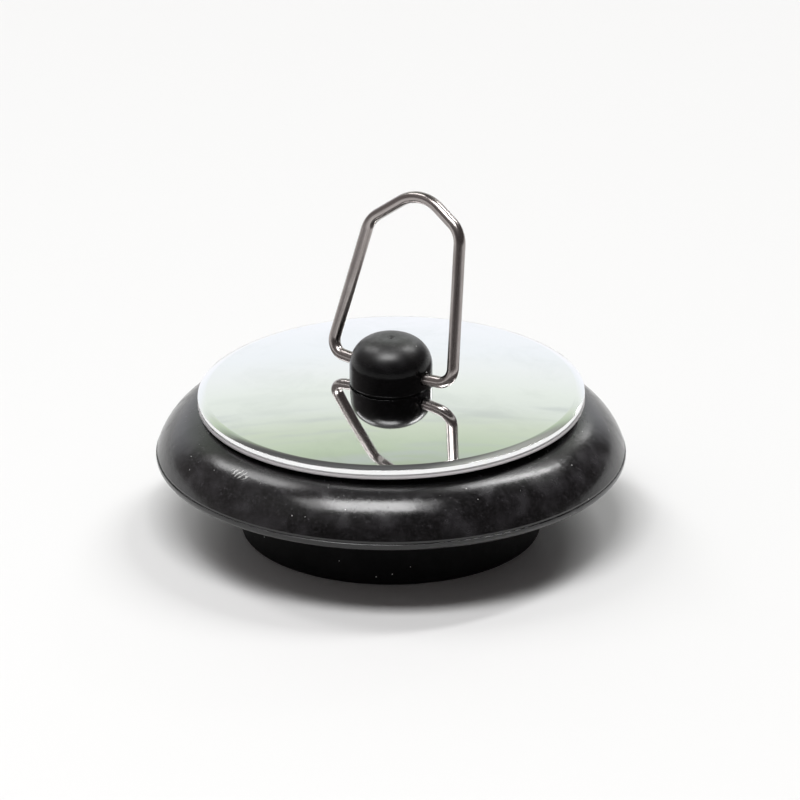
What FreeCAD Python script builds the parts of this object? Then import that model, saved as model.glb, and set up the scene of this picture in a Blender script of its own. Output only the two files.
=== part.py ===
import FreeCAD, Part
import math
import os

import Sketcher

# A drain stopper in three pieces: a moulded rubber plug with a knob on top, a domed cover plate of
# polished steel that the knob holds down, and a wire bail whose ends turn in a bore through the knob.
# Millimetres, +Z up. The origin is on the plug's axis at the foot of the spigot, and X is the bail's pivot.

SIZES = (
    # Rubber plug: spigot and cored underside
    ("spigot_dia", 39.6, "spigot that drops into the mouth of the drain"),
    ("spigot_height", 9.75, "from the foot of the spigot to the flange's underside"),
    ("spigot_wall", 4.2, "wall round the cored recess, at its mouth"),
    ("recess_depth", 9.0, "depth of the cored recess"),
    ("recess_draft", 0.5, "how much the recess narrows on each side up to its ceiling"),
    ("recess_round", 2.0, "round between the recess's wall and ceiling"),
    ("root_round", 0.8, "round where the spigot meets the flange"),
    ("soft_edge", 0.4, "round on the spigot's lower edges"),
    # Rubber plug: sealing flange
    ("flange_dia", 62.2, "sealing flange"),
    ("flange_thickness", 7.55, "from the flange's underside to the land under the cover plate"),
    ("rim_height", 1.1, "upright band round the flange's edge"),
    ("rim_edge", 0.8, "round on the band's lower edge"),
    ("rim_step", 0.15, "how far the band stands out from the flank, at the mould's parting line"),
    ("ridge_round", 0.1, "round on the band's upper edge"),
    ("flank_foot", 0.3, "upright foot of the rounded flank, above the band"),
    ("crown_inset", 3.0, "room between the plug's crown and the cover plate's skirt"),
    ("land_width", 0.4, "flat land round the crown, from which the flank rounds down"),
    # Cover plate
    ("plate_dia", 51.2, "cover plate over its turned-down edge"),
    ("plate_thickness", 0.4, "sheet thickness"),
    ("plate_dome", 262.0, "radius of the plate's shallow dome"),
    ("plate_roll", 3.2, "radius of the roll-off round the dome's border"),
    ("roll_reach", 1.25, "how far the roll-off's centre lies inside the centre of the bend"),
    ("plate_bend", 0.15, "inside radius of the turned-down edge"),
    ("plate_skirt", 0.802, "straight height of the turned-down edge"),
    ("skirt_gap", 0.57, "gap between the skirt and the land"),
    ("seat_gap", 0.05, "clearance between the plate and the rubber that holds it"),
    # Knob
    ("knob_dia", 11.0, "knob"),
    ("knob_height", 6.46, "from the top of the cover plate to the top of the knob"),
    ("knob_round", 4.0, "round over the top of the knob"),
    ("knob_lip", 0.8, "how far the knob overhangs its neck to hold the plate down"),
    ("knob_edge", 0.15, "round on the knob's lower edge"),
    ("neck_clearance", 0.1, "clearance between the neck and the plate's hole"),
    ("dimple_dia", 1.2, "moulding dimple in the top of the knob"),
    ("dimple_depth", 0.25, "depth of the dimple"),
    # Wire bail and its bore
    ("wire_dia", 1.6, "wire of the bail"),
    ("bore_clearance", 0.05, "clearance round the wire in its bore"),
    ("mouth_flare", 0.15, "how much the bore widens at its mouths"),
    ("pivot_height", 1.816, "from the top of the cover plate to the bail's pivot"),
    ("end_gap", 1.2, "gap between the two ends of the wire inside the knob"),
    ("foot_span", 19.8, "between the bail's two lower corners"),
    ("foot_rise", 0.3, "from the pivot up to the lower corners"),
    ("shoulder_span", 14.4, "between the bail's two shoulders"),
    ("shoulder_rise", 19.55, "from the pivot up to the middle of the two shoulders"),
    ("shoulder_skew", 0.8, "how far the hand-bent right shoulder stands above that, and the left one below"),
    ("roof_rise", 4.9, "from the middle of the shoulders up to the apex"),
    ("mouth_bend", 3.0, "bend of the wire's centre line at the mouth of the bore"),
    ("foot_bend", 2.0, "bend at the lower corners"),
    ("shoulder_bend", 3.6, "bend at the shoulders"),
    ("apex_bend", 5.4, "bend at the apex"),
    ("bail_lean", 16.0, "degrees that the resting bail leans from upright, towards +Y"),
)

# Levels and radii that follow from the sizes, as expressions
UNDERSIDE = "sizes.spigot_height"
RIM_TOP = f"{UNDERSIDE} + sizes.rim_height"
FLANK_FOOT = f"{RIM_TOP} + sizes.flank_foot"
LAND = f"{UNDERSIDE} + sizes.flange_thickness"
SPIGOT_R = "sizes.spigot_dia / 2"
RECESS_R = f"{SPIGOT_R} - sizes.spigot_wall"
FLANGE_R = "sizes.flange_dia / 2"
FLANK_R = f"{FLANGE_R} - sizes.rim_step"
PLATE_R = "sizes.plate_dia / 2"
CROWN_R = f"{PLATE_R} - sizes.plate_thickness - sizes.crown_inset"
LAND_R = f"{CROWN_R} + sizes.land_width"
KNOB_R = "sizes.knob_dia / 2"
NECK_R = f"{KNOB_R} - sizes.knob_lip"
HOLE_R = f"{NECK_R} + sizes.neck_clearance"

# The flank is one arc, level where it leaves the land, that ends on its upright foot
FLANK_REACH = f"({FLANK_R} - ({LAND_R}))"
FLANK_DROP = f"({LAND} - ({FLANK_FOOT}))"
FLANK_Z = f"{LAND} - ({FLANK_REACH}^2 + {FLANK_DROP}^2) / (2 * {FLANK_DROP})"

# The dome runs smoothly into a roll-off and that into the turned-down edge, each round a centre of its own
SKIRT_FOOT = f"{LAND} + sizes.skirt_gap"
BEND_Z = f"{SKIRT_FOOT} + sizes.plate_skirt"
BEND_OUTER = "sizes.plate_bend + sizes.plate_thickness"
BEND_R = f"{PLATE_R} - ({BEND_OUTER})"
ROLL_R = f"{BEND_R} - sizes.roll_reach"
ROLL_Z = f"{BEND_Z} - sqrt((sizes.plate_roll - ({BEND_OUTER}))^2 - sizes.roll_reach^2)"
DOME_Z = f"{ROLL_Z} - sqrt((sizes.plate_dome - sizes.plate_roll)^2 - ({ROLL_R})^2)"
DOME_UNDER = "sizes.plate_dome - sizes.plate_thickness"
PLATE_TOP = f"{DOME_Z} + sizes.plate_dome"

# The plug's crown follows the underside of the dome
SEAT_DOME = f"{DOME_UNDER} - sizes.seat_gap"
CROWN_EDGE = f"{DOME_Z} + sqrt(({SEAT_DOME})^2 - ({CROWN_R})^2)"
CROWN_NECK = f"{DOME_Z} + sqrt(({SEAT_DOME})^2 - ({NECK_R})^2)"
KNOB_UNDER = f"{PLATE_TOP} + sizes.seat_gap"
KNOB_TOP = f"{PLATE_TOP} + sizes.knob_height"
PIVOT = f"{PLATE_TOP} + sizes.pivot_height"

WIRE_R = "sizes.wire_dia / 2"
BORE_R = f"{WIRE_R} + sizes.bore_clearance"
MOUTH_R = f"{BORE_R} + sizes.mouth_flare"

# The sketcher's own numbers for a sketch's axes and for the points of a line or an arc
ACROSS_AXIS, UP_AXIS = range(-1, -3, -1)
FIRST_END, LAST_END, CENTRE = range(1, 4)
ORIGIN = (ACROSS_AXIS, FIRST_END)
ON_AXIS = "0"

doc = FreeCAD.newDocument("drain_stopper")
sheet = doc.addObject("Spreadsheet::Sheet", "sizes")
for row, (alias, size, note) in enumerate(SIZES, start=1):
    sheet.set(f"A{row}", alias)
    sheet.set(f"B{row}", str(size))
    sheet.set(f"C{row}", note)
    sheet.setAlias(f"B{row}", alias)
doc.recompute()


def measure(expression):
    """The present value of an expression of the sheet's sizes."""
    return float(sheet.evalExpression(expression))


def origin_plane(body, role):
    """One of a body's own origin planes."""
    return next(plane for plane in body.Origin.OriginFeatures if plane.Role == role)


def new_sketch(body, name, role):
    """An empty sketch on one of a body's origin planes."""
    sketch = body.newObject("Sketcher::SketchObject", name)
    sketch.AttachmentSupport = (origin_plane(body, role), "")
    sketch.MapMode = "FlatFace"
    return sketch


def bind(sketch, kind, elements, expression):
    """Adds a dimension to a sketch and ties it to an expression of the sizes."""
    index = sketch.addConstraint(Sketcher.Constraint(kind, *elements, measure(expression)))
    sketch.setExpression(f"Constraints[{index}]", expression)


def hold(sketch, point, kind, axis, expression):
    """Holds a point of a sketch on an axis, or at a distance from it."""
    if expression == ON_AXIS:
        sketch.addConstraint(Sketcher.Constraint("PointOnObject", *point, axis))
    else:
        bind(sketch, kind, (*ORIGIN, *point), expression)


def hold_across(sketch, point, across):
    """Holds a point of a sketch at a distance across from the upright axis."""
    hold(sketch, point, "DistanceX", UP_AXIS, across)


def hold_up(sketch, point, up):
    """Holds a point of a sketch at a distance up from the axis across."""
    hold(sketch, point, "DistanceY", ACROSS_AXIS, up)


def arc_between(centre, start, end, turns_left):
    """An arc of a circle, and which of its ends lie at the given start and end."""
    first, last = (start, end) if turns_left else (end, start)
    radius = (start - centre).Length
    angles = [math.atan2(point.y - centre.y, point.x - centre.x) for point in (first, last)]
    arc = Part.ArcOfCircle(Part.Circle(centre, FreeCAD.Vector(0, 0, 1), radius), *angles)
    ends = (FIRST_END, LAST_END) if turns_left else (LAST_END, FIRST_END)
    return arc, ends


class Corner:
    """A corner of an outline: where it is, the radius that rounds it, and the centre of an arc that leads on."""

    def __init__(self, across, up, bend=None, swell=None):
        self.across = across
        self.up = up
        self.bend = bend
        self.swell = swell
        self.place = FreeCAD.Vector(measure(across), measure(up), 0)

    def round_off(self, before, after):
        """Works out where the rounding arc leaves the runs on either side, its centre and its sense."""
        back = (before.place - self.place).normalize()
        ahead = (after.place - self.place).normalize()
        half_angle = back.getAngle(ahead) / 2
        radius = measure(self.bend)
        self.arc_start = self.place + back * (radius / math.tan(half_angle))
        self.arc_end = self.place + ahead * (radius / math.tan(half_angle))
        self.arc_centre = self.place + (back + ahead).normalize() * (radius / math.sin(half_angle))
        self.turns_left = back.cross(ahead).z < 0


def draw_outline(sketch, corners, closed=True):
    """Draws runs from corner to corner, with tangent arcs at rounded corners, all tied to the sizes."""
    count = len(corners)
    for index, corner in enumerate(corners):
        if corner.bend:
            corner.round_off(corners[index - 1], corners[(index + 1) % count])
        else:
            corner.arc_start = corner.place
            corner.arc_end = corner.place
    runs = []
    for index in range(count if closed else count - 1):
        here = corners[index]
        there = corners[(index + 1) % count]
        if here.swell:
            middle = FreeCAD.Vector(*map(measure, here.swell), 0)
            turns_left = there.place.x < here.place.x
            arc, ends = arc_between(middle, here.place, there.place, turns_left)
            run = sketch.addGeometry(arc)
            hold_across(sketch, (run, CENTRE), here.swell[0])
        else:
            run = sketch.addGeometry(Part.LineSegment(here.arc_end, there.arc_start))
            ends = (FIRST_END, LAST_END)
        runs.append((run, *ends))
    for index, corner in enumerate(corners):
        coming = runs[index - 1] if closed or index > 0 else None
        going = runs[index] if index < len(runs) else None
        if corner.bend:
            arc, ends = arc_between(corner.arc_centre, corner.arc_start, corner.arc_end, corner.turns_left)
            curve = sketch.addGeometry(arc)
            sketch.addConstraint(Sketcher.Constraint("Tangent", coming[0], coming[2], curve, ends[0]))
            sketch.addConstraint(Sketcher.Constraint("Tangent", curve, ends[1], going[0], going[1]))
            bind(sketch, "Radius", (curve,), corner.bend)
            point = (sketch.addGeometry(Part.Point(corner.place), True), FIRST_END)
            sketch.addConstraint(Sketcher.Constraint("PointOnObject", *point, coming[0]))
            sketch.addConstraint(Sketcher.Constraint("PointOnObject", *point, going[0]))
        elif coming and going:
            point = (going[0], going[1])
            sketch.addConstraint(Sketcher.Constraint("Coincident", coming[0], coming[2], *point))
        else:
            point = (going[0], going[1]) if going else (coming[0], coming[2])
        hold_across(sketch, point, corner.across)
        hold_up(sketch, point, corner.up)


def revolve(body, sketch, name):
    """Turns a sketch all the way round the upright axis."""
    feature = body.newObject("PartDesign::Revolution", name)
    feature.Profile = sketch
    feature.ReferenceAxis = (sketch, ["V_Axis"])
    feature.Angle = 360
    doc.recompute()
    return feature


def make_rubber_plug():
    """The moulding: spigot, flange, crown, neck and knob in one, bored across for the wire."""
    body = doc.addObject("PartDesign::Body", "rubber_plug")
    profile = new_sketch(body, "moulding_profile", "XZ_Plane")
    dimple_r = "sizes.dimple_dia / 2"
    draw_outline(profile, [
        Corner(ON_AXIS, "sizes.recess_depth"),
        Corner(f"{RECESS_R} - sizes.recess_draft", "sizes.recess_depth", "sizes.recess_round"),
        Corner(RECESS_R, ON_AXIS, "sizes.soft_edge"),
        Corner(SPIGOT_R, ON_AXIS, "sizes.soft_edge"),
        Corner(SPIGOT_R, UNDERSIDE, "sizes.root_round"),
        Corner(FLANGE_R, UNDERSIDE, "sizes.rim_edge"),
        Corner(FLANGE_R, RIM_TOP, "sizes.ridge_round"),
        Corner(FLANK_R, RIM_TOP),
        Corner(FLANK_R, FLANK_FOOT, swell=(LAND_R, FLANK_Z)),
        Corner(LAND_R, LAND),
        Corner(CROWN_R, LAND),
        Corner(CROWN_R, CROWN_EDGE, swell=(ON_AXIS, DOME_Z)),
        Corner(NECK_R, CROWN_NECK),
        Corner(NECK_R, KNOB_UNDER),
        Corner(KNOB_R, KNOB_UNDER, "sizes.knob_edge"),
        Corner(KNOB_R, KNOB_TOP, "sizes.knob_round"),
        Corner(dimple_r, KNOB_TOP),
        Corner(ON_AXIS, f"{KNOB_TOP} - sizes.dimple_depth"),
    ])
    moulding = revolve(body, profile, "moulding")
    solid_volume = moulding.Shape.Volume

    # The bore runs right through the knob on the pivot and widens at its two mouths
    bore_profile = new_sketch(body, "bore_profile", "XZ_Plane")
    bore_profile.setExpression("AttachmentOffset.Base.y", PIVOT)
    reach = f"{KNOB_R} + {MOUTH_R}"
    throat = f"{KNOB_R} - sizes.mouth_flare"
    draw_outline(bore_profile, [
        Corner(f"-({reach})", ON_AXIS),
        Corner(reach, ON_AXIS),
        Corner(reach, MOUTH_R),
        Corner(KNOB_R, MOUTH_R),
        Corner(throat, BORE_R),
        Corner(f"-({throat})", BORE_R),
        Corner(f"-({KNOB_R})", MOUTH_R),
        Corner(f"-({reach})", MOUTH_R),
    ])
    bore = body.newObject("PartDesign::Groove", "pivot_bore")
    bore.Profile = bore_profile
    bore.ReferenceAxis = (bore_profile, ["H_Axis"])
    bore.Angle = 360
    doc.recompute()
    if bore.Shape.Volume >= solid_volume:
        raise RuntimeError("the pivot bore cuts nothing")
    return body


def make_cover_plate():
    """The pressed plate: a shallow dome, rolled off into a turned-down edge, with a hole for the knob's neck."""
    body = doc.addObject("PartDesign::Body", "cover_plate")
    profile = new_sketch(body, "plate_profile", "XZ_Plane")
    dome_centre = FreeCAD.Vector(0, measure(DOME_Z), 0)
    roll_centre = FreeCAD.Vector(measure(ROLL_R), measure(ROLL_Z), 0)
    bend_centre = FreeCAD.Vector(measure(BEND_R), measure(BEND_Z), 0)
    to_roll = (roll_centre - dome_centre).normalize()
    to_bend = (bend_centre - roll_centre).normalize()
    hole_r = measure(HOLE_R)
    skirt_foot = measure(SKIRT_FOOT)

    def wall(inset):
        """The dome, roll-off, bend and skirt along one side of the sheet, from the hole outwards."""
        dome_radius = measure(f"sizes.plate_dome - {inset}")
        roll_radius = measure(f"sizes.plate_roll - {inset}")
        bend_radius = measure(f"{BEND_OUTER} - {inset}")
        rise = math.sqrt(dome_radius ** 2 - hole_r ** 2)
        hole_edge = dome_centre + FreeCAD.Vector(hole_r, rise, 0)
        roll_start = roll_centre + to_roll * roll_radius
        bend_start = bend_centre + to_bend * bend_radius
        bend_end = bend_centre + FreeCAD.Vector(bend_radius, 0, 0)
        foot = FreeCAD.Vector(bend_end.x, skirt_foot, 0)
        dome = profile.addGeometry(arc_between(dome_centre, hole_edge, roll_start, False)[0])
        roll = profile.addGeometry(arc_between(roll_centre, roll_start, bend_start, False)[0])
        bend = profile.addGeometry(arc_between(bend_centre, bend_start, bend_end, False)[0])
        skirt = profile.addGeometry(Part.LineSegment(bend_end, foot))
        profile.addConstraint(Sketcher.Constraint("Tangent", dome, FIRST_END, roll, LAST_END))
        profile.addConstraint(Sketcher.Constraint("Tangent", roll, FIRST_END, bend, LAST_END))
        profile.addConstraint(Sketcher.Constraint("Tangent", bend, FIRST_END, skirt, FIRST_END))
        profile.addConstraint(Sketcher.Constraint("Vertical", skirt))
        return (dome, roll, bend, skirt), hole_edge, foot

    (top_dome, top_roll, top_bend, top_skirt), top_hole, top_foot = wall("0")
    (low_dome, low_roll, low_bend, low_skirt), low_hole, low_foot = wall("sizes.plate_thickness")
    hole = profile.addGeometry(Part.LineSegment(top_hole, low_hole))
    foot = profile.addGeometry(Part.LineSegment(top_foot, low_foot))
    for edge, upper, lower in ((hole, top_dome, low_dome), (foot, top_skirt, low_skirt)):
        profile.addConstraint(Sketcher.Constraint("Coincident", edge, FIRST_END, upper, LAST_END))
        profile.addConstraint(Sketcher.Constraint("Coincident", edge, LAST_END, lower, LAST_END))
    profile.addConstraint(Sketcher.Constraint("Vertical", hole))
    profile.addConstraint(Sketcher.Constraint("Horizontal", foot))
    profile.addConstraint(Sketcher.Constraint("PointOnObject", top_dome, CENTRE, UP_AXIS))
    for lower, upper in ((low_dome, top_dome), (low_roll, top_roll), (low_bend, top_bend)):
        profile.addConstraint(Sketcher.Constraint("Coincident", lower, CENTRE, upper, CENTRE))
    bind(profile, "Radius", (top_dome,), "sizes.plate_dome")
    bind(profile, "Radius", (low_dome,), DOME_UNDER)
    bind(profile, "Radius", (top_roll,), "sizes.plate_roll")
    bind(profile, "Radius", (top_bend,), BEND_OUTER)
    bind(profile, "DistanceX", (top_roll, CENTRE, top_bend, CENTRE), "sizes.roll_reach")
    bind(profile, "DistanceX", (*ORIGIN, top_skirt, LAST_END), PLATE_R)
    bind(profile, "DistanceY", (*ORIGIN, top_skirt, LAST_END), SKIRT_FOOT)
    bind(profile, "DistanceY", (*ORIGIN, top_bend, CENTRE), BEND_Z)
    bind(profile, "DistanceX", (*ORIGIN, hole, FIRST_END), HOLE_R)
    revolve(body, profile, "pressing")
    return body


def make_wire_bail():
    """The bail: one length of wire, bent to a house shape, whose two ends lie on the pivot."""
    body = doc.addObject("PartDesign::Body", "wire_bail")
    path = new_sketch(body, "wire_path", "XZ_Plane")

    def side(sign, shoulder_rise):
        """The corners along one side of the bail, from the wire's end up to its shoulder."""
        return [
            Corner(f"{sign} sizes.end_gap / 2", ON_AXIS),
            Corner(f"{sign} {KNOB_R}", ON_AXIS, "sizes.mouth_bend"),
            Corner(f"{sign} sizes.foot_span / 2", "sizes.foot_rise", "sizes.foot_bend"),
            Corner(f"{sign} sizes.shoulder_span / 2", shoulder_rise, "sizes.shoulder_bend"),
        ]

    right = side("+", "sizes.shoulder_rise + sizes.shoulder_skew")
    apex = Corner(ON_AXIS, "sizes.shoulder_rise + sizes.roof_rise", "sizes.apex_bend")
    left = side("-", "sizes.shoulder_rise - sizes.shoulder_skew")
    draw_outline(path, right + [apex] + left[::-1], closed=False)

    section = new_sketch(body, "wire_section", "YZ_Plane")
    section.setExpression("AttachmentOffset.Base.z", "sizes.end_gap / 2")
    circle = section.addGeometry(Part.Circle(FreeCAD.Vector(), FreeCAD.Vector(0, 0, 1), measure(WIRE_R)))
    section.addConstraint(Sketcher.Constraint("Coincident", circle, CENTRE, *ORIGIN))
    bind(section, "Radius", (circle,), WIRE_R)

    wire = body.newObject("PartDesign::AdditivePipe", "bent_wire")
    wire.Profile = section
    wire.Spine = (path, [])
    body.Placement.Rotation = FreeCAD.Rotation(FreeCAD.Vector(-1, 0, 0), measure("sizes.bail_lean"))
    body.setExpression("Placement.Rotation.Angle", "sizes.bail_lean")
    body.setExpression("Placement.Base.z", PIVOT)
    doc.recompute()
    return body


pieces = (make_rubber_plug(), make_cover_plate(), make_wire_bail())
doc.recompute()

for item in doc.Objects:
    if "Invalid" in item.State or "Error" in item.State:
        raise RuntimeError(f"{item.Label} failed to build")
for piece in pieces:
    if piece.Shape.isNull() or not piece.Shape.isValid() or len(piece.Shape.Solids) != 1:
        raise RuntimeError(f"{piece.Label} is not one valid solid")

os.makedirs("parts", exist_ok=True)
for piece in pieces:
    piece.Shape.exportStep(os.path.join("parts", f"{piece.Label}.step"))
    box = piece.Shape.BoundBox
    print(f"{piece.Label}: {piece.Shape.Volume:.1f} mm3, Z {box.ZMin:.2f} to {box.ZMax:.2f}, "
          f"{box.XLength:.2f} x {box.YLength:.2f} mm")
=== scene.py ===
import math

import bmesh
import bpy
import numpy as np
from mathutils import Matrix, Vector


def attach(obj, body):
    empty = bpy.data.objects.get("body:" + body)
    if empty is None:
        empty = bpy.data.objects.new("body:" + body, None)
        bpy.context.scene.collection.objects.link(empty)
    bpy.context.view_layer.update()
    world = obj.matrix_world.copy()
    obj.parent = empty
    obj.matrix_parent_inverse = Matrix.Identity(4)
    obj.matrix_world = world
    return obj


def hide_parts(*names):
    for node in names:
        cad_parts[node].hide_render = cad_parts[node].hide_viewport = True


# A drain stopper on a white floor: black rubber plug, mirror-polished cover plate and stainless wire bail.
# Metres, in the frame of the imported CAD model. Sizes given in millimetres are multiplied by MM.

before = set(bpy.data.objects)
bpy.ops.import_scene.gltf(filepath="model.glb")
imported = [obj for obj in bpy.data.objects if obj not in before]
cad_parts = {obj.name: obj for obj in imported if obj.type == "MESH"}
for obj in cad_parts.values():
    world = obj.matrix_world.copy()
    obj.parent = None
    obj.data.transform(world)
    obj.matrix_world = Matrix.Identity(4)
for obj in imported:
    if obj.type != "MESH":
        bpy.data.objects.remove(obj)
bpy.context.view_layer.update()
MM = 0.001

# The photograph's view of the object
CAMERA_AZIMUTH = math.radians(36.0)
CAMERA_ELEVATION = math.radians(23.3)
CAMERA_DISTANCE = 2.4
VIEW_WIDTH = 105.75 * MM
VIEW_CENTRE_HEIGHT = 18.06 * MM
VIEW_CENTRE_RIGHT = 1.19 * MM
SENSOR_WIDTH = 36.0

TO_RIGHT = Vector((math.cos(CAMERA_AZIMUTH), math.sin(CAMERA_AZIMUTH), 0.0))
TO_CAMERA = Vector((math.sin(CAMERA_AZIMUTH), -math.cos(CAMERA_AZIMUTH), 0.0))
UP = Vector((0.0, 0.0, 1.0))

# The cover plate in millimetres: a dome, a crease, a border that rolls off, and an upright edge with a hem.
# It sits a little askew on its rubber: higher at the photograph's right and lower in front.
PLATE_TOP = 20.632
PLATE_RADIUS = 25.6
PLATE_SHEET = 0.4
PLATE_DOME = 258.0
PLATE_HOLE = 4.8
HOLE_BREAK = 0.06
CREASE_RADIUS = 24.5
ROLL_RADIUS = 3.93
ROLL_START = math.radians(9.0)
ROLL_END = math.radians(25.4)
HEM_LINE = 18.41
GROOVE_DEPTH = 0.09
EDGE_TOP = 19.135
EDGE_DROP = 0.05
EDGE_BULGE = 1.60
EDGE_LEAN = math.radians(10.0)
EDGE_TUCK = math.radians(13.0)
SKIRT_FOOT = 17.78
INSIDE_BEND_LOW = 18.55
INSIDE_BEND_HIGH = 18.75
PLATE_LEAN = TO_CAMERA * 0.014 + TO_RIGHT * 0.005
PLATE_SEGMENTS = 480
DOME_RINGS = 24
ROLL_RINGS = 18
EDGE_RINGS = 10
UNDERSIDE_RINGS = 12

# The wire bail, as in the CAD source, in millimetres: corners are (across, rise, bend)
WIRE_RADIUS = 0.8
PIVOT_HEIGHT = 22.448
BAIL_LEAN = math.radians(16.0)
RIGHT_SIDE = ((0.6, 0.0, 0.0), (5.5, 0.0, 3.0), (9.9, 0.3, 2.0), (7.2, 20.35, 3.6))
APEX = (0.0, 24.45, 5.4)
LEFT_SIDE = ((-7.2, 18.75, 3.6), (-9.9, 0.3, 2.0), (-5.5, 0.0, 3.0), (-0.6, 0.0, 0.0))
WIRE_SEGMENTS = 40
RUN_STEP = 0.35
ARC_STEP = 0.16
BEND_PRESS = 0.045

# The flat that a tool left inside the bail's left shoulder: its depth, and where along the wire it lies
MARK_DEPTH = 0.10
MARK_RIGHT_END = -1.2
MARK_LOW_END = 18.0
MARK_WAY = np.array((-0.55, -0.83))
MARK_PAST_SHOULDER = 0.3
MARK_MOST_BENDING = 0.9

# Short slanting scuffs on the flank, painted light grey both as wear and as a painted highlight where the
# left panel's gleam falls, in millimetres
SCUFF_HIGHLIGHT_CENTRE = TO_CAMERA * 19.2 - TO_RIGHT * 19.8 + UP * 15.75
SCUFF_HIGHLIGHT_HALF_LENGTH = 1.8
SCUFF_HIGHLIGHT_HALF_HEIGHT = 0.75
SCUFF_HIGHLIGHT_LOW_END = (14.2, 14.8)

# Colours of the finishes, and of painted light: a sheen on the knob's top and a highlight on the scuffs
RUBBER_BLACK = (0.0011, 0.0011, 0.0012, 1.0)
BLOOM_GREY = (0.037, 0.035, 0.039, 1.0)
# Settled dust on the knob's top, and a painted sheen there too
DUST_AND_SHEEN_GREY = (0.06, 0.06, 0.06, 1.0)
# Scuff grey: wear, and a painted highlight
SCUFF_AND_HIGHLIGHT_GREY = (0.42, 0.42, 0.41, 1.0)
SPECK_WHITE = (0.78, 0.78, 0.77, 1.0)
SHEET_BRIGHT = (0.95, 0.955, 0.96, 1.0)
SHEET_SMUDGED = (0.90, 0.91, 0.91, 1.0)
HEM_GREY = (0.58, 0.56, 0.57, 1.0)
WIRE_DARK = (0.27, 0.24, 0.23, 1.0)
WIRE_LIGHT = (0.42, 0.39, 0.38, 1.0)
FLOOR_WHITE = (0.815, 0.815, 0.815, 1.0)

# The rubber by height in millimetres: extra roughness, and share of its gloss, cut on the spigot and the
# knob's lower part as painted shade
RAMP_TOP = 30.0
EXTRA_ROUGHNESS = ((9.0, 0.60), (10.05, 0.0), (15.75, 0.0), (16.5, 0.10),
                   (19.2, 0.10), (20.4, 0.0), (23.55, 0.0), (26.25, 0.22))
GLOSS_SHARE_PAINTED_SHADE = ((9.3, 0.22), (9.9, 1.0), (19.5, 1.0), (19.95, 0.22), (24.15, 0.22), (25.8, 1.0))

# The studio: the backdrop behind the object by the sine of its elevation, and the room's other tones
BACKDROP = (
    (0.00, (1.00, 1.00, 1.00)), (0.20, (0.99, 1.00, 1.05)), (0.32, (0.91, 0.945, 0.97)),
    (0.37, (0.89, 0.92, 0.91)), (0.42, (0.83, 0.88, 0.82)), (0.46, (0.76, 0.81, 0.75)),
    (0.50, (0.64, 0.71, 0.58)), (0.54, (0.53, 0.62, 0.47)), (0.59, (0.36, 0.42, 0.31)),
    (0.66, (0.15, 0.15, 0.14)), (0.74, (0.09, 0.09, 0.09)), (1.00, (0.15, 0.15, 0.15)))
STREAK_GREY = (0.52, 0.56, 0.56, 1.0)
LEFT_WALL = (0.27, 0.25, 0.25, 1.0)
RIGHT_WALL = (0.10, 0.09, 0.09, 1.0)
FRONT_WALL = (0.09, 0.08, 0.08, 1.0)
OVERHEAD_LEFT = (0.36, 0.35, 0.34, 1.0)
OVERHEAD_RIGHT = (0.11, 0.10, 0.10, 1.0)
HORIZON_WHITE = (0.95, 0.95, 0.95, 1.0)
HIGH_RIGHT_PATCH = (0.37, 0.38, 0.35, 1.0)

# Soft panels overhead: name, start and end as (towards camera, to right), width, radiance.
# Places and widths are shares of the ceiling's height in metres.
CEILING = 1.2
PANELS = (
    ("front_panel", (0.32, -0.40), (0.32, 0.15), 0.34, 12.2),
    ("front_panel_left", (0.32, -0.62), (0.32, -0.40), 0.34, 3.5),
    ("front_panel_right", (0.32, 0.15), (0.32, 0.26), 0.34, 2.2),
    ("right_panel", (-0.29, 0.29), (-0.65, 0.87), 0.12, 20.0),
    ("left_panel", (-0.22, -0.42), (-0.85, -1.00), 0.24, 6.0),
    ("far_panel", (-1.70, 0.85), (-1.95, 1.10), 0.30, 7.0))


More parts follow.
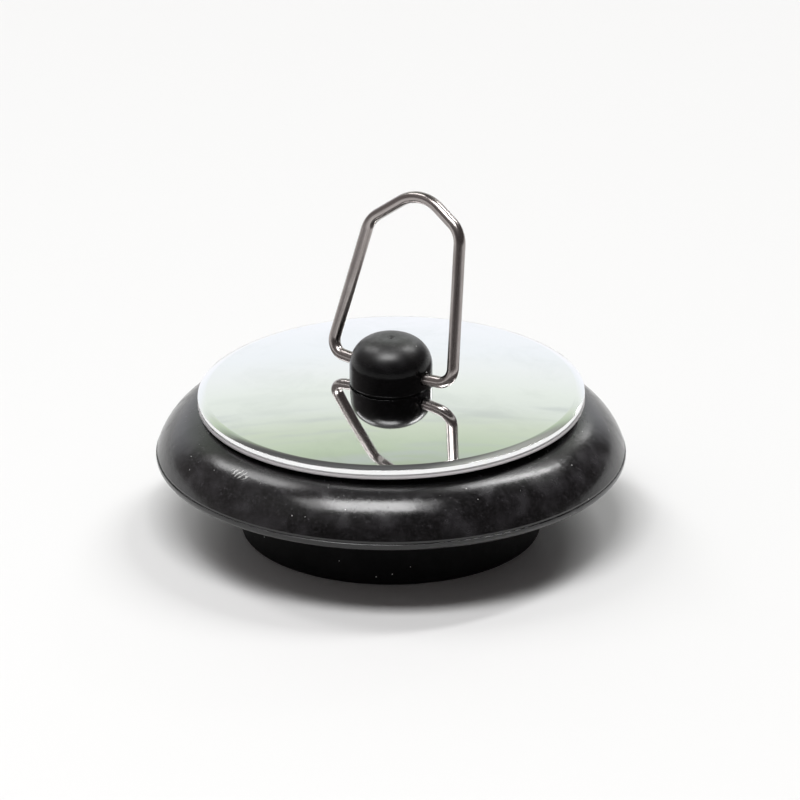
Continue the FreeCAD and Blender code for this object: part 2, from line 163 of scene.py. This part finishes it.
class Tree:
    """A node tree that is built with short calls: most return an output socket to pass on."""

    def __init__(self, tree):
        self.nodes = tree.nodes
        self.links = tree.links

    def add(self, kind, inputs=None, **settings):
        """A node with its settings made and its inputs set or linked."""
        node = self.nodes.new(kind)
        for name, value in settings.items():
            setattr(node, name, value)
        for name, value in (inputs or {}).items():
            self.feed(node.inputs[name], value)
        return node

    def feed(self, socket, value):
        """Links an output to a socket, or sets the socket's own value."""
        if isinstance(value, bpy.types.NodeSocket):
            self.links.new(value, socket)
        else:
            socket.default_value = value

    def math(self, operation, first, second=0.0):
        """A sum, product or other simple operation."""
        return self.add("ShaderNodeMath", {0: first, 1: second}, operation=operation).outputs[0]

    def dot(self, first, second):
        """How far one vector goes along another."""
        node = self.add("ShaderNodeVectorMath", {0: first, 1: second}, operation="DOT_PRODUCT")
        return node.outputs["Value"]

    def upward(self, vector):
        """A vector's height."""
        return self.add("ShaderNodeSeparateXYZ", {"Vector": vector}).outputs["Z"]

    def noise(self, vector, scale, detail=3.0, roughness=0.5, distortion=0.0):
        """Cloudy noise."""
        inputs = {"Vector": vector, "Scale": scale, "Detail": detail, "Roughness": roughness,
                  "Distortion": distortion}
        return self.add("ShaderNodeTexNoise", inputs).outputs["Fac"]

    def stretch(self, vector, scale, turn=(0.0, 0.0, 0.0)):
        """Coordinates turned by degrees and scaled, for streaks and smears."""
        rotation = [math.radians(angle) for angle in turn]
        inputs = {"Vector": vector, "Rotation": rotation, "Scale": scale}
        return self.add("ShaderNodeMapping", inputs, vector_type="POINT").outputs["Vector"]

    def rise(self, value, low, high, bottom=0.0, top=1.0):
        """A smooth step of a value, from bottom at low to top at high."""
        inputs = {"Value": value, "From Min": low, "From Max": high, "To Min": bottom, "To Max": top}
        node = self.add("ShaderNodeMapRange", inputs, interpolation_type="SMOOTHSTEP")
        return node.outputs["Result"]

    def mix(self, share, first, second):
        """A blend of two colours."""
        node = self.add("ShaderNodeMix", data_type="RGBA")
        self.feed(node.inputs["Factor"], share)
        self.feed(node.inputs[6], first)
        self.feed(node.inputs[7], second)
        return node.outputs[2]

    def ramp(self, value, stops):
        """A colour ramp with (position, colour) stops."""
        node = self.add("ShaderNodeValToRGB", {"Fac": value})
        elements = node.color_ramp.elements
        while len(elements) < len(stops):
            elements.new(0.5)
        for element, (position, colour) in zip(elements, stops):
            element.position = position
            element.color = (*colour, 1.0)
        return node.outputs["Color"]

    def bump(self, surface, height, strength, distance):
        """Fine relief on a surface."""
        node = self.add("ShaderNodeBump", {"Height": height, "Strength": strength, "Distance": distance})
        self.feed(surface.inputs["Normal"], node.outputs["Normal"])


def new_material(name):
    """A material with its tree and its principled surface."""
    material = bpy.data.materials.new(name)
    material.use_nodes = True
    tree = Tree(material.node_tree)
    return material, tree, material.node_tree.nodes["Principled BSDF"]


def object_millimetres(tree):
    """The object's own coordinates, in millimetres."""
    place = tree.add("ShaderNodeTexCoord").outputs["Object"]
    node = tree.add("ShaderNodeVectorMath", {0: place, "Scale": 1000.0}, operation="SCALE")
    return node.outputs["Vector"]


def scuff_and_highlight_marks(tree, place):
    """Short slanting scuffs in one patch of the flank, where they also carry a painted highlight: 1 on a mark
    and 0 off it.
    """
    outward = Vector((SCUFF_HIGHLIGHT_CENTRE.x, SCUFF_HIGHLIGHT_CENTRE.y, 0.0)).normalized()
    along = UP.cross(outward)
    up_flank = UP * 0.57 - outward * 0.82
    node = tree.add("ShaderNodeVectorMath", {0: place, 1: SCUFF_HIGHLIGHT_CENTRE}, operation="SUBTRACT")
    offset = node.outputs["Vector"]
    run = tree.dot(offset, along)
    climb = tree.dot(offset, up_flank)
    slant = tree.math("ADD", run, tree.math("MULTIPLY", climb, -0.55))
    wobble = tree.math("MULTIPLY", tree.noise(place, 2.2, 2.0), 8.0)
    bands = tree.math("SINE", tree.math("ADD", tree.math("MULTIPLY", slant, 8.5), wobble))
    reach = tree.math("ADD", tree.math("POWER", tree.math("DIVIDE", run, SCUFF_HIGHLIGHT_HALF_LENGTH), 2.0),
                      tree.math("POWER", tree.math("DIVIDE", climb, SCUFF_HIGHLIGHT_HALF_HEIGHT), 2.0))
    near = tree.rise(reach, 0.3, 1.1, 1.0, 0.0)
    on_flank = tree.rise(tree.upward(place), *SCUFF_HIGHLIGHT_LOW_END)
    return tree.math("MULTIPLY", tree.math("MULTIPLY", near, on_flank), tree.rise(bands, 0.1, 0.9))


def dust_specks(tree, place):
    """Scattered pale specks of different sizes: 1 on a speck and 0 off it."""
    cells = tree.add("ShaderNodeTexVoronoi", {"Vector": place, "Scale": 1.1, "Randomness": 1.0})
    chance = tree.add("ShaderNodeSeparateColor", {"Color": cells.outputs["Color"]}).outputs["Red"]
    size = tree.rise(chance, 0.82, 1.0, 0.0, 0.085)
    return tree.math("LESS_THAN", cells.outputs["Distance"], size)


def rubber_material():
    """Black moulded rubber: satin, clouded with grey bloom, finely pitted, scuffed and dotted with dust; with
    painted shade under the plate, a painted sheen on the knob's top, a painted highlight on the scuffs and
    gloss dimmed as painted shade on the spigot and the knob's wall.
    """
    material, tree, surface = new_material("black_rubber_satin")
    surface.inputs["Specular IOR Level"].default_value = 0.62
    place = object_millimetres(tree)
    height = tree.upward(place)

    # Bloom, smears, soft patches and fine dust, stronger on what faces up; from just below the plate's edge
    # upwards, the knob included, they are cut to about a third as painted shade under the plate
    clouds = tree.rise(tree.noise(place, 0.12, 4.0, 0.6), 0.42, 0.70)
    mottle = tree.rise(tree.noise(place, 0.9, 5.0, 0.7), 0.40, 0.72)
    bloom = tree.math("MULTIPLY", clouds, mottle)
    tangential = tree.stretch(place, (0.30, 0.30, 0.75), (0.0, 0.0, 25.0))
    smears = tree.rise(tree.noise(tangential, 1.0, 5.0, 0.65), 0.48, 0.78)
    dust = tree.rise(tree.noise(place, 2.6, 4.0, 0.65), 0.42, 0.66)
    patches = tree.rise(tree.noise(place, 0.30, 3.0, 0.5), 0.42, 0.72)
    dirt_and_shade = tree.math("MAXIMUM", bloom, tree.math("MULTIPLY", smears, 0.6))
    dirt_and_shade = tree.math("MAXIMUM", dirt_and_shade, tree.math("MULTIPLY", patches, 0.62))
    dusting = tree.math("MULTIPLY", dust, tree.rise(mottle, 0.0, 1.0, 0.25, 0.7))
    dirt_and_shade = tree.math("MAXIMUM", dirt_and_shade, dusting)
    upward = tree.upward(tree.add("ShaderNodeNewGeometry").outputs["Normal"])
    dirt_and_shade = tree.math("MULTIPLY", dirt_and_shade, tree.rise(upward, 0.05, 0.55, 0.15, 1.0))
    # Painted shade: less grey from just below the plate's edge upwards, darkening the rubber under the plate
    # and the knob with it
    dirt_and_shade = tree.math("MULTIPLY", dirt_and_shade, tree.rise(height, 15.6, 16.6, 1.0, 0.35))
    # Painted sheen with settled dust: the knob's top is painted a lighter grey where the overhead lamps light
    # it
    knob_top_dust_and_sheen = tree.math("MULTIPLY", tree.rise(upward, 0.70, 0.97), tree.rise(height, 25.2, 26.4))
    settled_dust_and_sheen = tree.math("MULTIPLY", knob_top_dust_and_sheen, tree.rise(mottle, 0.0, 1.0, 0.45, 1.0))

    grey = tree.mix(dirt_and_shade, RUBBER_BLACK, BLOOM_GREY)
    dusty_and_sheened = tree.mix(settled_dust_and_sheen, grey, DUST_AND_SHEEN_GREY)
    # Painted highlight with wear: the scuffs are painted light grey where the flank's highlight falls
    scuffed_and_highlit = tree.mix(scuff_and_highlight_marks(tree, place), dusty_and_sheened, SCUFF_AND_HIGHLIGHT_GREY)
    speckled = tree.mix(dust_specks(tree, place), scuffed_and_highlit, SPECK_WHITE)
    tree.feed(surface.inputs["Base Color"], speckled)

    level = tree.math("DIVIDE", height, RAMP_TOP)

    def by_height(stops):
        return tree.ramp(level, [(top / RAMP_TOP, (value, value, value)) for top, value in stops])

    satin = tree.rise(dirt_and_shade, 0.0, 1.0, 0.16, 0.33)
    tree.feed(surface.inputs["Roughness"], tree.math("ADD", satin, by_height(EXTRA_ROUGHNESS)))
    # Painted shade: the gloss is dimmed on the spigot and on the knob's lower part
    tree.feed(surface.inputs["Specular Tint"], by_height(GLOSS_SHARE_PAINTED_SHADE))
    grain = tree.noise(place, 2.2, 4.0, 0.6)
    lumps = tree.noise(place, 0.5, 2.0, 0.5)
    relief = tree.math("ADD", tree.math("MULTIPLY", grain, 0.30), tree.math("MULTIPLY", lumps, 0.6))
    tree.bump(surface, relief, 0.4, 0.00006)
    return material


def plate_material():
    """Mirror-polished stainless sheet: faint smudges, hairline marks, a slight ripple and a duller hem."""
    material, tree, surface = new_material("polished_plate_mirror")
    surface.inputs["Metallic"].default_value = 1.0
    place = object_millimetres(tree)
    height = tree.add("ShaderNodeAttribute", attribute_name="sheet_height").outputs["Fac"]
    hem = tree.rise(height, HEM_LINE - 0.05, HEM_LINE + 0.03, 1.0, 0.0)
    smudge = tree.rise(tree.noise(place, 0.13, 4.0, 0.6, 0.5), 0.45, 0.75)
    hairs = tree.stretch(place, (0.12, 7.0, 1.0), (0.0, 0.0, 31.0))
    marks = tree.rise(tree.noise(hairs, 1.0, 2.0, 0.5, 0.2), 0.72, 0.80)
    polished = tree.mix(smudge, SHEET_BRIGHT, SHEET_SMUDGED)
    tree.feed(surface.inputs["Base Color"], tree.mix(hem, polished, HEM_GREY))

    haze = tree.math("ADD", tree.math("MULTIPLY", smudge, 0.03), tree.math("MULTIPLY", marks, 0.05))
    roll = tree.rise(height, EDGE_TOP + 0.28, EDGE_TOP + 0.32, 0.05, 0.0)
    edge = tree.rise(height, EDGE_TOP - 0.06, EDGE_TOP - 0.02, 0.10, 0.0)
    border = tree.math("ADD", roll, tree.math("ADD", edge, tree.math("MULTIPLY", hem, 0.20)))
    dull = tree.math("ADD", haze, border)
    tree.feed(surface.inputs["Roughness"], tree.math("ADD", dull, 0.035))
    ripple = tree.noise(place, 0.16, 2.0, 0.4)
    tree.bump(surface, ripple, 0.1, 0.0001)
    return material


def wire_material():
    """Drawn stainless wire: dark warm grey, with fine streaks along its length."""
    material, tree, surface = new_material("bail_wire_drawn")
    surface.inputs["Metallic"].default_value = 1.0
    run = tree.add("ShaderNodeAttribute", attribute_name="wire_run").outputs["Vector"]
    drawn = tree.stretch(run, (120.0, 6500.0, 6500.0))
    streaks = tree.noise(drawn, 1.0, 4.0, 0.6)
    patches = tree.noise(run, 420.0, 3.0, 0.6)
    blend = tree.math("ADD", tree.math("MULTIPLY", streaks, 0.7), tree.math("MULTIPLY", patches, 0.3))
    tone = tree.rise(blend, 0.3, 0.7)
    tree.feed(surface.inputs["Base Color"], tree.mix(tone, WIRE_DARK, WIRE_LIGHT))
    tree.feed(surface.inputs["Roughness"], tree.rise(tone, 0.0, 1.0, 0.27, 0.16))
    tree.bump(surface, streaks, 0.12, 0.00002)
    return material


def finish_piece(name, mesh, material, node, body):
    """Turns a built mesh into a piece that stands for a CAD node and rides on its body."""
    data = bpy.data.meshes.new(name)
    mesh.to_mesh(data)
    mesh.free()
    piece = bpy.data.objects.new(name, data)
    bpy.context.scene.collection.objects.link(piece)
    data.materials.append(material)
    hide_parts(node)
    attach(piece, body)


def plate_section():
    """The plate's section in millimetres: out from the hole, down the edge and hem, and back underneath."""
    dome_centre = PLATE_TOP - PLATE_DOME

    def dome(sphere, radii):
        return [(radius, dome_centre + math.sqrt(sphere ** 2 - radius ** 2)) for radius in radii]

    # Rings close to each change of slope keep the smooth shading from running over it
    outer_radii = np.linspace(PLATE_HOLE + HOLE_BREAK, CREASE_RADIUS - 0.03, DOME_RINGS)
    outer = dome(PLATE_DOME, [*outer_radii, CREASE_RADIUS])
    crease_height = outer[-1][1]
    slopes = np.linspace(ROLL_START, ROLL_END, ROLL_RINGS)[1:-1]
    for slope in [ROLL_START + 0.01, *slopes, ROLL_END - 0.003, ROLL_END]:
        across = ROLL_RADIUS * (math.sin(slope) - math.sin(ROLL_START))
        drop = ROLL_RADIUS * (math.cos(ROLL_START) - math.cos(slope))
        outer.append((CREASE_RADIUS + across, crease_height - drop))
    edge_middle = EDGE_TOP - EDGE_DROP - EDGE_BULGE * math.sin(EDGE_LEAN)
    for lean in np.linspace(EDGE_LEAN, -EDGE_TUCK, EDGE_RINGS):
        inset = EDGE_BULGE * (1 - math.cos(lean))
        outer.append((PLATE_RADIUS - inset, edge_middle + EDGE_BULGE * math.sin(lean)))
    hem = ((GROOVE_DEPTH, HEM_LINE + 0.01), (GROOVE_DEPTH, HEM_LINE - 0.03), (0.0, HEM_LINE - 0.08),
           (0.0, HEM_LINE - 0.10), (0.0, SKIRT_FOOT + 0.14), (0.04, SKIRT_FOOT + 0.04), (0.14, SKIRT_FOOT))
    outer += [(PLATE_RADIUS - inset, height) for inset, height in hem]

    inner_radius = PLATE_RADIUS - PLATE_SHEET
    inner = [(inner_radius + 0.06, SKIRT_FOOT), (inner_radius, SKIRT_FOOT + 0.08),
             (inner_radius, INSIDE_BEND_LOW), (inner_radius - 0.15, INSIDE_BEND_HIGH)]
    inner += dome(PLATE_DOME - PLATE_SHEET, np.linspace(CREASE_RADIUS - 0.1, PLATE_HOLE, UNDERSIDE_RINGS))
    return outer + inner + [(PLATE_HOLE, outer[0][1] - HOLE_BREAK)]


def make_plate():
    """The cover plate as a fine turned mesh, with a hem line round its skirt, set a little askew."""
    pivot = UP * PLATE_TOP
    lean = Matrix.Rotation(PLATE_LEAN.length, 3, PLATE_LEAN.normalized())
    mesh = bmesh.new()
    height_layer = mesh.verts.layers.float.new("sheet_height")
    rings = []
    for radius, height in plate_section():
        ring = []
        for index in range(PLATE_SEGMENTS):
            angle = 2 * math.pi * index / PLATE_SEGMENTS
            level = Vector((radius * math.cos(angle), radius * math.sin(angle), height))
            vert = mesh.verts.new((pivot + lean @ (level - pivot)) * MM)
            vert[height_layer] = height
            ring.append(vert)
        rings.append(ring)
    for first, second in zip(rings, rings[1:] + rings[:1]):
        for index in range(PLATE_SEGMENTS):
            after = (index + 1) % PLATE_SEGMENTS
            mesh.faces.new((first[index], second[index], second[after], first[after]))
    bmesh.ops.recalc_face_normals(mesh, faces=mesh.faces)
    for face in mesh.faces:
        face.smooth = True
    finish_piece("domed_plate", mesh, plate_material(), "cover_plate", "plug")


def bail_centre_line():
    """Points along the bent wire in the bail's plane, in millimetres: place, direction, share of bending."""
    corners = [*RIGHT_SIDE, APEX, *LEFT_SIDE]
    places = [np.array(corner[:2]) for corner in corners]
    points = []

    def run(start, end):
        count = max(2, int(np.linalg.norm(end - start) / RUN_STEP))
        direction = (end - start) / np.linalg.norm(end - start)
        for index in range(count):
            points.append((start + (end - start) * index / count, direction, 0.0))

    here = places[0]
    for index in range(1, len(corners) - 1):
        back = places[index - 1] - places[index]
        ahead = places[index + 1] - places[index]
        back = back / np.linalg.norm(back)
        ahead = ahead / np.linalg.norm(ahead)
        half = math.acos(np.clip(back @ ahead, -1.0, 1.0)) / 2
        radius = corners[index][2]
        reach = radius / math.tan(half)
        arc_start = places[index] + back * reach
        run(here, arc_start)
        middle = places[index] + (back + ahead) / np.linalg.norm(back + ahead) * radius / math.sin(half)
        spoke = arc_start - middle
        turn = math.pi - 2 * half
        way = 1 if back[0] * ahead[1] - back[1] * ahead[0] < 0 else -1
        steps = max(8, int(turn * radius / ARC_STEP))
        for step in range(steps):
            angle = turn * step / steps * way
            cos, sin = math.cos(angle), math.sin(angle)
            arm = np.array((cos * spoke[0] - sin * spoke[1], sin * spoke[0] + cos * spoke[1]))
            direction = np.array((-arm[1], arm[0])) / radius * way
            points.append((middle + arm, direction, math.sin(math.pi * step / steps)))
        here = places[index] + ahead * reach
    run(here, places[-1])
    points.append((places[-1], points[-1][1], 0.0))
    return points


def make_bail():
    """The wire bail as a swept tube, pressed a little at its bends, with a tool mark by its left shoulder."""
    shoulder = np.array(LEFT_SIDE[0][:2])
    lean_in = math.sin(BAIL_LEAN)
    lean_up = math.cos(BAIL_LEAN)
    mesh = bmesh.new()
    run_layer = mesh.verts.layers.float_vector.new("wire_run")
    points = bail_centre_line()
    rings = []
    length = 0.0
    previous = points[0][0]
    for place, direction, bending in points:
        length += np.linalg.norm(place - previous)
        previous = place
        inward = np.array((-direction[1], direction[0]))
        in_reach = place[0] < MARK_RIGHT_END and place[1] > MARK_LOW_END
        before_end = (place - shoulder) @ MARK_WAY < MARK_PAST_SHOULDER
        marked = in_reach and before_end and bending < MARK_MOST_BENDING
        ring = []
        for index in range(WIRE_SEGMENTS):
            angle = 2 * math.pi * index / WIRE_SEGMENTS
            inside = math.cos(angle)
            radius = WIRE_RADIUS * (1 - BEND_PRESS * bending * max(0.0, inside) ** 2)
            across = radius * inside
            if marked:
                across = min(across, WIRE_RADIUS - MARK_DEPTH)
            sideways = radius * math.sin(angle)
            flat = place + inward * across
            depth = flat[1] * lean_in - sideways * lean_up
            rise = flat[1] * lean_up + sideways * lean_in
            vert = mesh.verts.new((Vector((flat[0], depth, rise)) + UP * PIVOT_HEIGHT) * MM)
            vert[run_layer] = Vector((length, radius * inside, sideways)) * MM
            ring.append(vert)
        rings.append(ring)
    for first, second in zip(rings, rings[1:]):
        for index in range(WIRE_SEGMENTS):
            after = (index + 1) % WIRE_SEGMENTS
            mesh.faces.new((first[index], first[after], second[after], second[index]))
    mesh.faces.new(rings[0][::-1])
    mesh.faces.new(rings[-1])
    bmesh.ops.recalc_face_normals(mesh, faces=mesh.faces)
    for face in mesh.faces:
        face.smooth = len(face.verts) == 4
    finish_piece("bail_wire", mesh, wire_material(), "wire_bail", "bail")


def dress_node(name, material):
    """Gives a CAD node its finished material."""
    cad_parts[name].material_slots[0].material = material


def make_floor():
    """A plain white floor, wide enough for every view, that keeps the object's shadow."""
    mesh = bmesh.new()
    bmesh.ops.create_circle(mesh, cap_ends=True, segments=128, radius=4.0)
    data = bpy.data.meshes.new("floor")
    mesh.to_mesh(data)
    mesh.free()
    floor = bpy.data.objects.new("floor", data)
    floor.location.z = -0.02 * MM
    bpy.context.scene.collection.objects.link(floor)
    material, _, surface = new_material("floor_white")
    surface.inputs["Base Color"].default_value = FLOOR_WHITE
    surface.inputs["Roughness"].default_value = 1.0
    surface.inputs["Specular IOR Level"].default_value = 0.0
    data.materials.append(material)


def room_tone(tree, height, side, front):
    """The room round the backdrop: left wall brighter than right, front dim, overhead lit, horizon white."""
    rightward = tree.rise(side, -0.7, 0.1)
    walls = tree.mix(rightward, LEFT_WALL, RIGHT_WALL)
    dim = tree.mix(tree.rise(front, 0.3, 0.8), walls, FRONT_WALL)
    bright = tree.mix(rightward, OVERHEAD_LEFT, OVERHEAD_RIGHT)
    overhead = tree.math("MULTIPLY", tree.rise(height, 0.35, 0.85), tree.rise(front, -0.15, 0.25))
    tone = tree.mix(overhead, dim, bright)
    return tree.mix(tree.rise(height, 0.02, 0.09, 1.0, 0.0), tone, HORIZON_WHITE)


def make_world():
    """A studio: white low down behind, pale green-grey higher up there, and a dimmer room round it."""
    world = bpy.data.worlds.new("studio")
    bpy.context.scene.world = world
    world.use_nodes = True
    tree = Tree(world.node_tree)
    way = tree.add("ShaderNodeTexCoord").outputs["Generated"]
    height = tree.upward(way)
    side = tree.dot(way, TO_RIGHT)
    front = tree.dot(way, TO_CAMERA)

    smears = tree.noise(tree.stretch(way, (15.0, 15.0, 80.0)), 1.0, 2.0, 0.5)
    streaks = tree.math("MULTIPLY", tree.rise(smears, 0.50, 0.68), tree.rise(height, 0.40, 0.47, 0.0, 0.6))
    streaks = tree.math("MULTIPLY", streaks, tree.rise(height, 0.60, 0.68, 1.0, 0.0))
    backdrop = tree.mix(streaks, tree.ramp(height, BACKDROP), STREAK_GREY)

    level = tree.math("SQRT", tree.math("SUBTRACT", 1.0, tree.math("MULTIPLY", height, height)))
    backward = tree.math("MULTIPLY", front, -1.0)
    straight_back = tree.math("DIVIDE", backward, tree.math("MAXIMUM", level, 0.001))
    skewed = tree.math("SUBTRACT", straight_back, tree.math("MULTIPLY", side, 0.1))
    studio = tree.mix(tree.rise(skewed, 0.68, 0.92), room_tone(tree, height, side, front), backdrop)
    high_right = tree.math("MULTIPLY", tree.rise(height, 0.55, 0.68), tree.rise(side, 0.03, 0.22))
    high_right = tree.math("MULTIPLY", high_right, tree.rise(front, -0.35, -0.05, 1.0, 0.0))
    background = world.node_tree.nodes["Background"]
    tree.feed(background.inputs["Color"], tree.mix(high_right, studio, HIGH_RIGHT_PATCH))


def make_ceiling_panel(name, start, end, width, radiance):
    """A soft panel overhead that faces down."""
    first = TO_CAMERA * start[0] + TO_RIGHT * start[1]
    last = TO_CAMERA * end[0] + TO_RIGHT * end[1]
    along = last - first
    data = bpy.data.lights.new(name, "AREA")
    data.shape = "RECTANGLE"
    data.size = along.length * CEILING
    data.size_y = width * CEILING
    data.energy = radiance * math.pi * data.size * data.size_y
    lamp = bpy.data.objects.new(name, data)
    lamp.location = ((first + last) / 2 + UP) * CEILING
    lamp.rotation_euler.z = math.atan2(along.y, along.x)
    lamp.visible_camera = False
    bpy.context.scene.collection.objects.link(lamp)


def make_lamps():
    """Soft panels overhead, where the photograph's highlights say that its lights were."""
    for panel in PANELS:
        make_ceiling_panel(*panel)


def make_camera():
    """A long lens at the photograph's viewing angle."""
    data = bpy.data.cameras.new("camera")
    data.sensor_width = SENSOR_WIDTH
    data.lens = SENSOR_WIDTH * CAMERA_DISTANCE / VIEW_WIDTH
    data.clip_end = 20.0
    camera = bpy.data.objects.new("camera", data)
    back = TO_CAMERA * math.cos(CAMERA_ELEVATION) + UP * math.sin(CAMERA_ELEVATION)
    centre = TO_RIGHT * VIEW_CENTRE_RIGHT + UP * VIEW_CENTRE_HEIGHT
    camera.location = centre + back * CAMERA_DISTANCE
    camera.rotation_mode = "QUATERNION"
    camera.rotation_quaternion = back.to_track_quat("Z", "Y")
    bpy.context.scene.collection.objects.link(camera)
    bpy.context.scene.camera = camera


bpy.context.scene.view_settings.view_transform = "Standard"
dress_node("rubber_plug", rubber_material())
make_plate()
make_bail()
make_floor()
make_world()
make_lamps()
make_camera()
